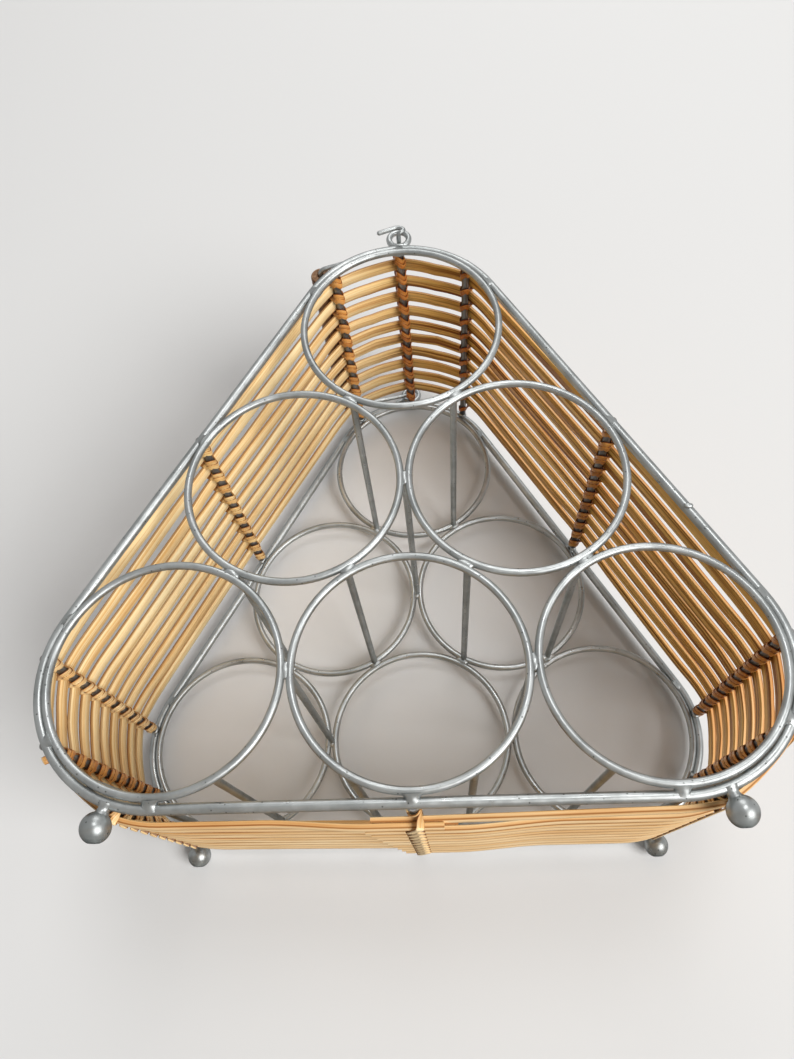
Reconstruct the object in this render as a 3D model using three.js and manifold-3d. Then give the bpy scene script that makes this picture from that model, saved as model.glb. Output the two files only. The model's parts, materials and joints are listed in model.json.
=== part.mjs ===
// A six-bottle wine rack of welded wire, wrapped in rattan slats, with a swinging carrying handle.
// Millimetres. X runs along the base, Y from the front frame to the back one, Z up from the floor.
// Each place on the rack's outline is written as a reach: the distance out from a hoop's centre.
import * as THREE from 'three';
import { mergeVertices } from 'three/addons/utils/BufferGeometryUtils.js';
import Module from 'manifold-3d';

const radians = THREE.MathUtils.degToRad;
const wasm = await Module();
wasm.setup();

// Driving dimensions of the bottle cells
const cellPitch = 100;
const hoopWire = 3.5;
const clearance = 0.3;
const cradleRod = 3.4;
const cradleAngle = 60;

// Driving dimensions of the two frames
const frameSpacing = 141;
const frameRod = 4.5;
const frameSetback = 2.5;
const weldRoot = 0.7;

// Driving dimensions of the ribs, the slats and their lashings
const ribRod = 3.8;
const ribOutset = 1.2;
const ribSpread = 40;
const slatCount = 10;
const slatGap = 5;
const slatThickness = 2.1;
const slatBevel = 1.3;
const spliceStart = 26;
const spliceRamp = 60;
const spliceEnd = 9;
const spliceStep = 1.4;
const firstSpliceEnd = 11.5;
const caneThickness = 0.9;
const caneSlack = 0.7;
const caneBend = 1.1;
const caneTwist = 0.32;
const lashingEnd = 10.05;

// Driving dimensions of the feet
const footBall = 12;
const footNeck = 4.6;
const footNeckLength = 1.27;
const footSpread = 19.5;
const footFlat = 0.4;

// Driving dimensions of the handle
const eyeOuter = 13.4;
const eyeWire = 3.1;
const eyeSink = 1.65;
const bailWire = 2.4;
const bailArm = 44;
const bailLean = 3.2;
const bailBend = 3.4;
const hookReach = 6.1;
const hookTail = 10;
const hookRise = 4.6;
const hookSide = 3.6;
const gripDiameter = 10.5;
const gripEndGap = 5.55;
const gripBevel = 0.8;

// Counts of faces
const hoopSteps = 28;
const wireSides = 6;
const frameSides = 8;
const cornerSteps = 12;
const ballSteps = 12;
const eyeSteps = 16;

// Places worked out from the driving dimensions
const hoopRadius = (cellPitch - hoopWire - clearance) / 2;
const rowHeight = cellPitch * Math.sin(Math.PI / 3);
const frameDrop = (hoopWire + frameRod) / 2 + weldRoot;
const frameReach = hoopRadius + Math.sqrt(frameDrop ** 2 - frameSetback ** 2);
const ribReach = frameReach + ribOutset;
const slatInner = ribReach + ribRod / 2 + clearance;
const slatOuter = slatInner + slatThickness;
const layerStep = slatThickness + clearance;
const caneInner = ribReach - ribRod / 2 - clearance - caneThickness / 2;
const caneOuter = slatOuter + clearance + caneThickness / 2;
const caneWidth = slatGap - 2 * caneSlack;
const lashingStart = footBall / 2 + clearance + caneWidth / 2;
const slatPitch = (frameSpacing - lashingStart - lashingEnd) / slatCount;
const slatWidth = slatPitch - slatGap;
const footReach = frameReach + frameRod / 2 + footNeckLength + footBall / 2;
const baseHeight = footReach * Math.cos(radians(footSpread)) + footBall / 2 - footFlat;
const frontY = -frameSpacing / 2;
const backY = frameSpacing / 2;
const topHeight = baseHeight + 2 * rowHeight;
const eyeHeight = topHeight + frameReach + frameRod / 2 + eyeOuter / 2 - eyeSink;
const eyeBore = eyeOuter - 2 * eyeWire;
const pivotHeight = eyeHeight - eyeBore / 2 + bailWire / 2 + clearance;
const armSetback = (frameRod + bailWire) / 2 + clearance;
const gripLength = frameSpacing - 2 * armSetback - bailWire - 2 * gripEndGap;

const COLOURS = {
  steel: { color: 0x8f9593, roughness: 0.42, metalness: 0.55 },
  slat: { color: 0xdcae6c, roughness: 0.62, metalness: 0 },
  cane: { color: 0xb9742f, roughness: 0.58, metalness: 0 },
  grip: { color: 0x8c6950, roughness: 0.7, metalness: 0 },
};
const finish = Object.fromEntries(
  Object.entries(COLOURS).map(([name, look]) => [name, new THREE.MeshStandardMaterial(look)]),
);

// The six cells: the column in half pitches from the middle, and the row up from the base
const CELLS = {
  top: { column: 0, row: 2 },
  mid_left: { column: -1, row: 1 },
  mid_right: { column: 1, row: 1 },
  low_left: { column: -2, row: 0 },
  low_middle: { column: 0, row: 0 },
  low_right: { column: 2, row: 0 },
};

function cellCentre(name) {
  const { column, row } = CELLS[name];
  return new THREE.Vector2((column * cellPitch) / 2, baseHeight + row * rowHeight);
}

// A point at a reach and an angle from a cell's centre, in the plane of the hoops
function around(name, reach, degrees) {
  const a = radians(degrees);
  return cellCentre(name).add(new THREE.Vector2(Math.cos(a), Math.sin(a)).multiplyScalar(reach));
}

// Turns a list of rings, each a list of points, into one closed skin
function skin(rings, closed) {
  const sides = rings[0].length;
  const positions = rings.flat().flatMap((p) => [p.x, p.y, p.z]);
  const faces = [];
  const last = closed ? rings.length : rings.length - 1;
  for (let i = 0; i < last; i++) {
    const here = i * sides;
    const next = ((i + 1) % rings.length) * sides;
    for (let j = 0; j < sides; j++) {
      const k = (j + 1) % sides;
      faces.push(here + j, here + k, next + k, here + j, next + k, next + j);
    }
  }
  if (!closed) {
    const end = (rings.length - 1) * sides;
    for (let j = 1; j < sides - 1; j++) {
      faces.push(0, j + 1, j, end, end + j, end + j + 1);
    }
  }
  const geometry = new THREE.BufferGeometry();
  geometry.setAttribute('position', new THREE.Float32BufferAttribute(positions, 3));
  geometry.setIndex(faces);
  return geometry;
}

// The direction of a path at each of its points
function tangents(points, closed) {
  const n = points.length;
  return points.map((p, i) => {
    const before = points[closed ? (i + n - 1) % n : Math.max(i - 1, 0)];
    const after = points[closed ? (i + 1) % n : Math.min(i + 1, n - 1)];
    return after.clone().sub(before).normalize();
  });
}

// A round bar along a path: each ring is mitred, with its first side carried along from the ring before
function bar(points, diameter, sides, closed = false) {
  const along = tangents(points, closed);
  const side = new THREE.Vector3(0.1, 1, 0.2);
  const rings = points.map((p, i) => {
    side.addScaledVector(along[i], -side.dot(along[i])).normalize();
    const other = new THREE.Vector3().crossVectors(along[i], side);
    const before = points[i === 0 ? (closed ? points.length - 1 : 0) : i - 1];
    const leg = p.clone().sub(before);
    const mitre = leg.lengthSq() > 0 ? 1 / Math.max(leg.normalize().dot(along[i]), 0.5) : 1;
    const bend = new THREE.Vector3().crossVectors(along[i], leg).cross(along[i]).normalize();
    return Array.from({ length: sides }, (_, j) => {
      const a = (2 * Math.PI * (j + 0.5)) / sides;
      const spoke = side.clone().multiplyScalar(Math.cos(a)).addScaledVector(other, Math.sin(a));
      if (mitre > 1.001) spoke.addScaledVector(bend, (mitre - 1) * spoke.dot(bend));
      return p.clone().addScaledVector(spoke, diameter / 2);
    });
  });
  return skin(rings, closed);
}

function toSolid(geometry) {
  const plain = geometry.clone();
  plain.deleteAttribute('normal');
  plain.deleteAttribute('uv');
  const merged = mergeVertices(plain, 1e-4);
  return new wasm.Manifold(
    new wasm.Mesh({
      numProp: 3,
      vertProperties: merged.attributes.position.array,
      triVerts: new Uint32Array(merged.index.array),
    }),
  );
}

function toGeometry(solid) {
  const mesh = solid.getMesh();
  const geometry = new THREE.BufferGeometry();
  geometry.setAttribute('position', new THREE.BufferAttribute(mesh.vertProperties, 3));
  geometry.setIndex(new THREE.BufferAttribute(mesh.triVerts, 1));
  return geometry;
}

const rack = new THREE.Group();
const handle = new THREE.Group();
rack.add(handle);

function place(group, name, geometry, material) {
  geometry.computeVertexNormals();
  const mesh = new THREE.Mesh(geometry, material);
  mesh.name = name;
  group.add(mesh);
}

// A straight rod along Y between two depths
function straightRod(at, diameter, fromY, toY, sides = 8) {
  const rod = new THREE.CylinderGeometry(diameter / 2, diameter / 2, toY - fromY, sides);
  return rod.translate(at.x, (fromY + toY) / 2, at.y);
}

function hoopRing(centre, y) {
  const ring = new THREE.TorusGeometry(hoopRadius, hoopWire / 2, wireSides, hoopSteps);
  return ring.rotateX(Math.PI / 2).translate(centre.x, y, centre.y);
}

const hoopFrontY = frontY - frameSetback;
const hoopBackY = backY - frameSetback;

// A front hoop with the two rods under its bottle, which reach back to the hoop behind
function frontHoop(name) {
  const centre = cellCentre(name);
  let solid = toSolid(hoopRing(centre, hoopFrontY));
  for (const degrees of [-90 - cradleAngle / 2, -90 + cradleAngle / 2]) {
    const at = around(name, hoopRadius, degrees);
    const rodEnd = hoopBackY - hoopWire / 2 - clearance;
    solid = solid.add(toSolid(straightRod(at, cradleRod, hoopFrontY, rodEnd)));
  }
  return toGeometry(solid);
}

for (const name of Object.keys(CELLS)) {
  place(rack, `front_hoop_${name}`, frontHoop(name), finish.steel);
  place(rack, `back_hoop_${name}`, hoopRing(cellCentre(name), hoopBackY), finish.steel);
}

// Three more rods lie where two hoops of one row meet
const SPACERS = {
  upper: ['mid_left', 'mid_right'],
  left: ['low_left', 'low_middle'],
  right: ['low_middle', 'low_right'],
};
for (const [name, pair] of Object.entries(SPACERS)) {
  const at = cellCentre(pair[0]).lerp(cellCentre(pair[1]), 0.5);
  const inset = hoopWire / 2 + clearance;
  const rod = straightRod(at, cradleRod, hoopFrontY + inset, hoopBackY - inset);
  place(rack, `spacer_rod_${name}`, rod, finish.steel);
}

// The rounded triangle at a reach: arcs about the three corner cells, joined by straight sides
const CORNERS = {
  right: { cell: 'low_right', middle: -30 },
  top: { cell: 'top', middle: 90 },
  left: { cell: 'low_left', middle: 210 },
};
const cornerSweep = 120;

function outline(reach, steps = cornerSteps) {
  return Object.values(CORNERS).flatMap(({ cell, middle }) =>
    Array.from({ length: steps + 1 }, (_, i) =>
      around(cell, reach, middle - cornerSweep / 2 + (cornerSweep * i) / steps),
    ),
  );
}

function frameBar(y, extra = 0) {
  const path = outline(frameReach).map((p) => new THREE.Vector3(p.x, y, p.y));
  return bar(path, frameRod + extra, frameSides, true);
}

place(rack, 'front_frame_rod', frameBar(frontY), finish.steel);
place(rack, 'back_frame_rod', frameBar(backY), finish.steel);

// Ribs stand at the middle of each side and in threes round each corner, bound to the slats by cane
const RIBS = {
  left_middle: { cell: 'mid_left', degrees: 150 },
  right_middle: { cell: 'mid_right', degrees: 30 },
  base_middle: { cell: 'low_middle', degrees: -90, layers: 2 },
};
for (const [corner, { cell, middle }] of Object.entries(CORNERS)) {
  RIBS[`${corner}_before`] = { cell, degrees: middle - ribSpread };
  RIBS[`${corner}_corner`] = { cell, degrees: middle };
  RIBS[`${corner}_after`] = { cell, degrees: middle + ribSpread };
}

function rib(at) {
  const inset = frameRod / 2 + clearance;
  return straightRod(at, ribRod, frontY + inset, backY - inset);
}

// One strip of cane is wound along each rib, one turn a slat: it crosses behind the rib in each gap between
// slats, comes out beside it and runs slantwise over the slat to the next gap. Each bend takes two
// stations: a place and the way that the strip's outer face looks there, in the rib's own directions, with x
// across the rib, y out from the cell's centre and z along the rib. The strip turns over as it goes out
// through a gap, and each bend takes a share of that twist.
function lashingTurn(turn, outer) {
  const innerSide = (ribRod + caneThickness) / 2 + 2 * clearance;
  const outerSide = (ribRod + caneWidth) / 2;
  const here = frontY + lashingStart + slatPitch * turn;
  const next = here + slatPitch;
  const out = new THREE.Vector3(0, 1, 0);
  const inward = out.clone().negate();
  const right = new THREE.Vector3(1, 0, 0);
  const left = right.clone().negate();
  const over = new THREE.Vector3(-2 * outerSide, 0, slatPitch).normalize();
  const back = over.clone().negate();
  const cut = over.clone().multiplyScalar(caneBend);
  const twisted = (from, to) => from.clone().lerp(to, caneTwist);
  const station = (x, y, z, away) => ({ at: new THREE.Vector3(x, y, z), away });
  return [
    station(-innerSide + caneBend, caneInner, here, inward),
    station(innerSide - caneBend, caneInner, here, inward),
    station(innerSide, caneInner + caneBend, here, twisted(right, back)),
    station(outerSide, outer - caneBend, here, twisted(back, right)),
    station(outerSide + cut.x, outer, here + cut.z, out),
    station(-outerSide - cut.x, outer, next - cut.z, out),
    station(-outerSide, outer - caneBend, next, twisted(over, left)),
    station(-innerSide, caneInner + caneBend, next, twisted(left, over)),
  ];
}

// The winding ends where it has crossed the last gap
function lashingStations(outer) {
  const turns = Array.from({ length: slatCount + 1 }, (_, turn) => lashingTurn(turn, outer));
  const last = turns.pop();
  return [...turns.flat(), ...last.slice(0, 2)];
}

function lashing(cell, degrees, outer) {
  const stations = lashingStations(outer);
  const along = tangents(stations.map(({ at }) => at), false);
  const section = [[1, 1], [1, -1], [-1, -1], [-1, 1]];
  const rings = stations.map(({ at, away }, i) => {
    const face = away.clone().addScaledVector(along[i], -away.dot(along[i])).normalize();
    const edge = new THREE.Vector3().crossVectors(along[i], face);
    return section.map(([w, d]) =>
      at.clone().addScaledVector(edge, (w * caneWidth) / 2).addScaledVector(face, (d * caneThickness) / 2),
    );
  });
  const a = radians(degrees);
  const across = new THREE.Vector3(-Math.sin(a), 0, Math.cos(a));
  const out = new THREE.Vector3(Math.cos(a), 0, Math.sin(a));
  const centre = cellCentre(cell);
  const turned = new THREE.Matrix4().makeBasis(across, out, new THREE.Vector3(0, 1, 0));
  return skin(rings, false).applyMatrix4(turned.setPosition(centre.x, 0, centre.y));
}

// The least gap between parts of one lashing that are half a turn or more apart
function lashingSelfGap() {
  const path = lashingStations(caneOuter).map(({ at }) => at);
  const halfTurn = lashingTurn(0, caneOuter).length / 2;
  const gaps = path.flatMap((p, i) => path.slice(i + halfTurn).map((q) => p.distanceTo(q)));
  return Math.min(...gaps) - Math.hypot(caneThickness, caneWidth);
}
console.log(`least gap between turns of a lashing: ${lashingSelfGap().toFixed(2)} mm`);

for (const [name, { cell, degrees, layers = 1 }] of Object.entries(RIBS)) {
  place(rack, `rib_${name}`, rib(around(cell, ribReach, degrees)), finish.steel);
  const outer = caneOuter + (layers - 1) * layerStep;
  place(rack, `lashing_${name}`, lashing(cell, degrees, outer), finish.cane);
}

// A slat starts right of the middle of the base, runs round the triangle and ends over its own start
function slatLine(offset, splice) {
  const base = baseHeight - offset;
  const round = outline(offset);
  const left = round.slice(2 * (cornerSteps + 1));
  const others = round.slice(0, 2 * (cornerSteps + 1));
  return [
    new THREE.Vector2(-splice, base - layerStep),
    new THREE.Vector2(spliceStart + clearance, base - layerStep),
    new THREE.Vector2(spliceStart + spliceRamp, base),
    ...others,
    ...left,
    new THREE.Vector2(spliceStart, base),
  ];
}

// A slat is flat inside, and its rounded outer side is narrower by a bevel at each edge
function slat(splice, middle, mirrored) {
  const outerLine = slatLine(slatOuter, splice);
  const wide = slatWidth / 2;
  const narrow = wide - slatBevel;
  const side = mirrored ? -1 : 1;
  const rings = slatLine(slatInner, splice).map((inner, i) =>
    [[inner, wide], [inner, -wide], [outerLine[i], -narrow], [outerLine[i], narrow]].map(([p, off]) =>
      new THREE.Vector3(side * p.x, middle + side * off, p.y),
    ),
  );
  return skin(rings, false);
}

// The free ends are stepped, and the first slat is wound the other way
for (let i = 0; i < slatCount; i++) {
  const middle = frontY + lashingStart + slatPitch * (i + 0.5);
  const splice = i === 0 ? firstSpliceEnd : spliceEnd + spliceStep * (slatCount - 1 - i);
  const name = `slat_${String(i + 1).padStart(2, '0')}`;
  place(rack, name, slat(splice, middle, i === 0), finish.slat);
}

// A foot is a ball on a short neck, saddled to the frame rod and flat where it stands
function foot(corner, y) {
  const { cell } = CORNERS[corner];
  const degrees = -90 + (corner === 'left' ? -footSpread : footSpread);
  const ballAt = around(cell, footReach, degrees);
  const ball = new THREE.SphereGeometry(footBall / 2, ballSteps, (2 * ballSteps) / 3).rotateX(Math.PI / 2);
  const neckFrom = around(cell, frameReach, degrees);
  const neckPath = [neckFrom, ballAt].map((p) => new THREE.Vector3(p.x, y, p.y));
  const floor = new THREE.BoxGeometry(2 * footBall, 2 * footBall, footBall);
  return toGeometry(
    toSolid(ball.translate(ballAt.x, y, ballAt.y))
      .add(toSolid(bar(neckPath, footNeck, frameSides)))
      .subtract(toSolid(frameBar(y, 2 * clearance)))
      .subtract(toSolid(floor.translate(ballAt.x, y, -footBall / 2))),
  );
}

for (const [end, y] of [['front', frontY], ['back', backY]]) {
  for (const corner of ['left', 'right']) {
    place(rack, `foot_${end}_${corner}`, foot(corner, y), finish.steel);
  }
}

// An eye is a ring on top of the frame rod, saddled to it
function eye(y) {
  const ring = new THREE.TorusGeometry((eyeOuter - eyeWire) / 2, eyeWire / 2, wireSides, eyeSteps);
  ring.rotateX(Math.PI / 2).translate(0, y, eyeHeight);
  return toGeometry(toSolid(ring).subtract(toSolid(frameBar(y, 2 * clearance))));
}

place(rack, 'eye_front', eye(frontY), finish.steel);
place(rack, 'eye_back', eye(backY), finish.steel);

// At rest the grip lies on the left slope, on the cane of its highest rib
const gripSeat = caneOuter + caneThickness / 2 + clearance + gripDiameter / 2;
const pivotReach = pivotHeight - topHeight;
const sinkSine = (bailArm ** 2 + pivotReach ** 2 - gripSeat ** 2) / (2 * bailArm * pivotReach);
const restDrop = Math.asin(sinkSine);
const gripX = -bailArm * Math.cos(restDrop);
const gripZ = pivotHeight - bailArm * Math.sin(restDrop);
const swingDegrees = 180 + 2 * THREE.MathUtils.radToDeg(restDrop);
console.log(`handle pivot at height ${pivotHeight.toFixed(2)} mm, swing ${swingDegrees.toFixed(1)} degrees`);

// Rounds each corner of a path of straight legs with a few points of a curve
function rounded(corners, radius, steps = 3) {
  const points = [corners[0]];
  for (let i = 1; i < corners.length - 1; i++) {
    const [from, at, to] = corners.slice(i - 1, i + 2);
    const cut = Math.min(radius, at.distanceTo(from) / 2, at.distanceTo(to) / 2);
    const start = at.clone().lerp(from, cut / at.distanceTo(from));
    const end = at.clone().lerp(to, cut / at.distanceTo(to));
    const curve = new THREE.QuadraticBezierCurve3(start, at, end);
    points.push(...curve.getPoints(steps));
  }
  points.push(corners[corners.length - 1]);
  return points;
}

// The bail is one wire: a hook in front of an eye, an arm to the grip, and the same again behind
function bail() {
  const hookY = frontY - hookReach;
  const armY = frontY + armSetback;
  const half = [
    new THREE.Vector3(-hookTail, hookY, pivotHeight + hookRise / 4),
    new THREE.Vector3(0, hookY, pivotHeight + hookRise),
    new THREE.Vector3(hookSide, hookY, pivotHeight + hookRise / 2),
    new THREE.Vector3(0, hookY, pivotHeight),
    new THREE.Vector3(0, armY, pivotHeight),
    new THREE.Vector3(gripX, armY + bailLean, gripZ),
  ];
  const mirrored = half.map((p) => p.clone().setY(-p.y)).reverse();
  const path = rounded([...half, ...mirrored], bailBend);
  return bar(path, bailWire, wireSides, false);
}

function grip() {
  const radius = gripDiameter / 2;
  const bore = bailWire / 2 + clearance;
  const half = gripLength / 2;
  const profile = [
    [bore, -half],
    [radius - gripBevel, -half],
    [radius, -half + gripBevel],
    [radius, half - gripBevel],
    [radius - gripBevel, half],
    [bore, half],
    [bore, -half],
  ];
  const turned = new THREE.LatheGeometry(profile.map(([x, y]) => new THREE.Vector2(x, y)), 12);
  return turned.translate(gripX, 0, gripZ);
}

place(handle, 'handle_bail', bail(), finish.steel);
place(handle, 'handle_grip', grip(), finish.grip);

export default rack;
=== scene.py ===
# A six-bottle wine rack: welded wire hoops and frames, rattan slats bound with cane, ball feet and a
# swinging carrying handle. Everything is in metres, with Y from the front frame to the back one.
import json
import math

import bmesh
import bpy
from mathutils import Matrix, Vector, noise


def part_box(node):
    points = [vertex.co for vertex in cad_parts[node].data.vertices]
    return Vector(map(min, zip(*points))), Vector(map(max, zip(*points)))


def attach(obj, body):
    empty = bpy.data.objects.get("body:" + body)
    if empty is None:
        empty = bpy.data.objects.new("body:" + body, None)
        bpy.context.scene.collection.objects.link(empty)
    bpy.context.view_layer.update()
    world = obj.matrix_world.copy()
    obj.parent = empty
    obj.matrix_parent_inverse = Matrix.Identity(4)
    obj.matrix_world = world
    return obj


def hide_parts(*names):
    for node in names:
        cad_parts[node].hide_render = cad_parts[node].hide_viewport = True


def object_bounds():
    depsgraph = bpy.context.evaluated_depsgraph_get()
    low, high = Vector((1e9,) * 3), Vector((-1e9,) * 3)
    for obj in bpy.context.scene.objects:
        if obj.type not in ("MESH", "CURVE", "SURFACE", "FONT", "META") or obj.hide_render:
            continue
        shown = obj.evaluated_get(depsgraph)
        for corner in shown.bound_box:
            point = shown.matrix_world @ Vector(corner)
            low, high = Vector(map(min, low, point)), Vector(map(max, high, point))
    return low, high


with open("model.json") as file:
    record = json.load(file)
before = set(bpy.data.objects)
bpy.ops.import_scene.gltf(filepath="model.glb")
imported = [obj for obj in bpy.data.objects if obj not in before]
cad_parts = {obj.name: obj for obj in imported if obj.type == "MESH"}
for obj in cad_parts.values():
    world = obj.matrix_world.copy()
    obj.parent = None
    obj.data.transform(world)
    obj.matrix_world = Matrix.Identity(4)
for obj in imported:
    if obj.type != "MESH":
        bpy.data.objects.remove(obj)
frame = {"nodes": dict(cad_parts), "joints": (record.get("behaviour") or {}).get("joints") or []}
cad_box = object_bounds()

# Sizes of the wires
HOOP_WIRE = 0.0035
CRADLE_ROD = 0.0034
FRAME_ROD = 0.0045
RIB_ROD = 0.0038
RIB_OUTSET = 0.0012
GAP = 0.0003

# The section of a slat
SLAT_CROWN = 0.0005
SLAT_BEVEL = 0.0007
SLAT_CORNER = 0.0003
SLAT_ROUND = 0.0016
EDGE_STEPS = (0.35, 0.7)
SHOULDER_FROM = 0.8

# How the slats drift, swell and straighten between their ties
SLAT_STATION = 0.008
SLAT_DRIFT = 0.0034
DRIFT_LENGTH = 0.024
DRIFT_WAVES = 6.5
SLAT_TIED = 0.006
SLAT_SWELL = 0.11
TIED_SWELL = 0.4
SLAT_WAVES = 20
SLAT_LIFT = 0.0001
SLAT_UNEVEN = 0.04
SLAT_TAUT = 0.5
BASE_DRIFT = 0.25

# Where the ends of a slat lap under the base
SPLICE_START = 0.017
SPLICE_RAMP = 0.044
SPLICE_END = 0.009
SPLICE_STEP = 0.0014
FIRST_SPLICE_END = 0.0115

# The strip of cane, and how it winds
CANE_THICKNESS = 0.0007
CANE_DOME = 0.62
CANE_SQUARE = 0.7
CANE_FLAT = 0.8
CANE_SIDES = 14
CANE_SLACK = 0.0008
CANE_BEND = 0.0011
CANE_CROSS = 0.0023
WRAP_GAP = 0.0001
WRAP_SPREAD = 0.0016
WRAP_LIFT = 0.0003
WRAP_LEAN = 0.0016
WRAP_NARROWS = 0.12

# Sizes of the feet and the handle
FOOT_BALL = 0.012
FOOT_NECK = 0.0046
FOOT_FLAT = 0.0004
SADDLE_FLARE = 0.42
SADDLE_FADE = 1.6
BALL_FLARE = 0.16
BALL_FLARE_FROM = 0.7
BALL_TIP = 0.00005
EYE_OUTER = 0.0134
EYE_WIRE = 0.0031
BAIL_WIRE = 0.0024
BAIL_BEND = 0.0034
BAIL_LEAN = 0.0032
ARM_SETBACK = 0.00375
HOOK_REACH = 0.0061
HOOK_TAIL = 0.010
HOOK_RISE = 0.0046
HOOK_SIDE = 0.0036
GRIP_BEVEL = 0.0009
BORE_BEVEL = 0.0006
BORE_FLARE = 0.0004

# Sizes of the welds: length, width and height of each bead, and the webs from hoop to frame
HOOP_BEAD = (0.0078, 0.0042, 0.0036)
EYE_BEAD = (0.0070, 0.0040, 0.0022)
RIB_BEAD = (0.0052, 0.0046, 0.0024)
RIB_BEAD_INSET = 0.0006
RIB_BEAD_LIFT = 0.0002
SPATTER = (0.0036, 0.0026, 0.0022)
SPATTER_SHARE = 0.766
WEB_WIDTH = 0.0064
WEB_DEPTH = 0.0046
WEB_FLARE = 0.8
BEAD_FULLNESS = 0.7
BEAD_LUMP = 0.22
BEAD_WAVES = 420
WEB_LUMP = 0.16
WEB_WAVES = 380

# How the grain of the cane tells its material where it is pinched between slats, where shade is painted,
# and where it lies outside the slats
DEPTH_MARK = 0.01

# How far in from the skin of the right slope its painted shade begins, and where it is full
RIGHT_SHADE_DEPTH = 0.075
RIGHT_SHADE_SKIN = 0.008

X_AXIS = Vector((1, 0, 0))
Y_AXIS = Vector((0, 1, 0))
Z_AXIS = Vector((0, 0, 1))


def middle(node):
    low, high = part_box(node)
    return (low + high) / 2


# Places read from the frame
CELLS = ("top", "mid_left", "mid_right", "low_left", "low_middle", "low_right")
CENTRE = {cell: middle(f"back_hoop_{cell}") for cell in CELLS}
HOOP_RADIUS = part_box("back_hoop_top")[1].x - CENTRE["top"].x - HOOP_WIRE / 2
FRAME_Y = {end: middle(f"{end}_frame_rod").y for end in ("front", "back")}
HOOP_SETBACK = FRAME_Y["back"] - CENTRE["top"].y
HOOP_Y = {end: FRAME_Y[end] - HOOP_SETBACK for end in FRAME_Y}
RIB_REACH = middle("rib_top_corner").z - CENTRE["top"].z
FRAME_REACH = RIB_REACH - RIB_OUTSET
SLAT_NODES = sorted(name for name in frame["nodes"] if name.startswith("slat_"))
SLAT_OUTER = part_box(SLAT_NODES[4])[1].z - CENTRE["top"].z
SLAT_INNER = RIB_REACH + RIB_ROD / 2 + GAP
SLAT_THICKNESS = SLAT_OUTER - SLAT_INNER
SLAT_PITCH = middle(SLAT_NODES[1]).y - middle(SLAT_NODES[0]).y
SLAT_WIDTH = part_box(SLAT_NODES[0])[1].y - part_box(SLAT_NODES[0])[0].y
SLAT_GAP = SLAT_PITCH - SLAT_WIDTH
LAYER = SLAT_THICKNESS + GAP
CANE_OUTER = SLAT_OUTER + SLAT_CROWN + WRAP_GAP + CANE_THICKNESS / 2
CANE_WIDTH = SLAT_GAP - 2 * CANE_SLACK
BASE_Z = CENTRE["low_middle"].z
PIVOT = Vector(frame["joints"][0]["pos_m"])
GRIP_MIDDLE = middle("handle_grip")

# The three corners of the outline and the middles of its sides: a cell, and an angle round it
CORNERS = {"right": ("low_right", -30), "top": ("top", 90), "left": ("low_left", 210)}
CORNER_SWEEP = 120
SIDES = {"left": ("mid_left", 150), "right": ("mid_right", 30), "base": ("low_middle", -90)}


def facing(degrees):
    """The way away from a cell's centre at an angle."""
    a = math.radians(degrees)
    return Vector((math.cos(a), 0, math.sin(a)))


def around(cell, reach, degrees, y=0.0):
    """A point at a reach and an angle from a cell's centre, at a depth."""
    a = math.radians(degrees)
    centre = CENTRE[cell]
    return Vector((centre.x + reach * math.cos(a), y, centre.z + reach * math.sin(a)))


# Meshes are made of skins: rings of points, closed or with capped ends, and the grain of each point
def circle(radius, sides):
    turns = [2 * math.pi * i / sides for i in range(sides)]
    return [(radius * math.cos(a), radius * math.sin(a)) for a in turns]


def bend_points(start, corner, end, steps=5):
    """A quadratic curve from start to end, drawn towards the corner."""
    points = []
    for i in range(steps + 1):
        t = i / steps
        points.append(start.lerp(corner, t).lerp(corner.lerp(end, t), t))
    return points


def slat_outline(width, height):
    """A slat's section: a flat under side, bevelled edges and a gently rounded top."""
    top = width / 2 - SLAT_BEVEL
    peak = height / 2 + SLAT_CROWN
    half = [(width / 2 - SLAT_CORNER, -height / 2), (width / 2, SLAT_CORNER - height / 2)]
    foot = Vector((width / 2, SLAT_CORNER - height / 2, 0))
    shoulder = Vector((top, peak - SLAT_CROWN, 0))
    crown = Vector((top - SLAT_ROUND, peak, 0))
    half += [(foot.lerp(shoulder, t).x, foot.lerp(shoulder, t).y) for t in EDGE_STEPS]
    half += [(p.x, p.y) for p in bend_points(foot.lerp(shoulder, SHOULDER_FROM), shoulder, crown)]
    return half + [(-x, y) for x, y in reversed(half)]


def ring(at, right, up, outline):
    return [at + right * x + up * y for x, y in outline]


def directions(points, closed=False):
    """The direction of a path at each point."""
    n = len(points)
    found = []
    for i in range(n):
        before = points[(i - 1) % n] if closed or i else points[0]
        after = points[(i + 1) % n] if closed or i < n - 1 else points[-1]
        found.append((after - before).normalized())
    return found


def lengths(points):
    """The distance along a path at each point."""
    run = [0.0]
    for before, after in zip(points, points[1:]):
        run.append(run[-1] + (after - before).length)
    return run


# Where a tube's first side points. No path of the rack runs exactly that way
FIRST_SIDE = Vector((0.12, 1, 0.21))


def tube(points, radius, sides=16, closed=False, rounded_ends=False):
    """A skin round a path, with its side carried along so that it doesn't twist."""
    along = directions(points, closed)
    side = FIRST_SIDE
    rings = []
    for at, way in zip(points, along):
        side = (side - way * side.dot(way)).normalized()
        rings.append(ring(at, side, way.cross(side), circle(radius, sides)))
    if rounded_ends:
        rings = round_off(rings, points, along, radius)
    return {"rings": rings, "closed": closed}


# Where the rings of a rounded end stand, as shares of its radius
DOME_STEPS = (0.5, 0.8, 0.96)


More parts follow.
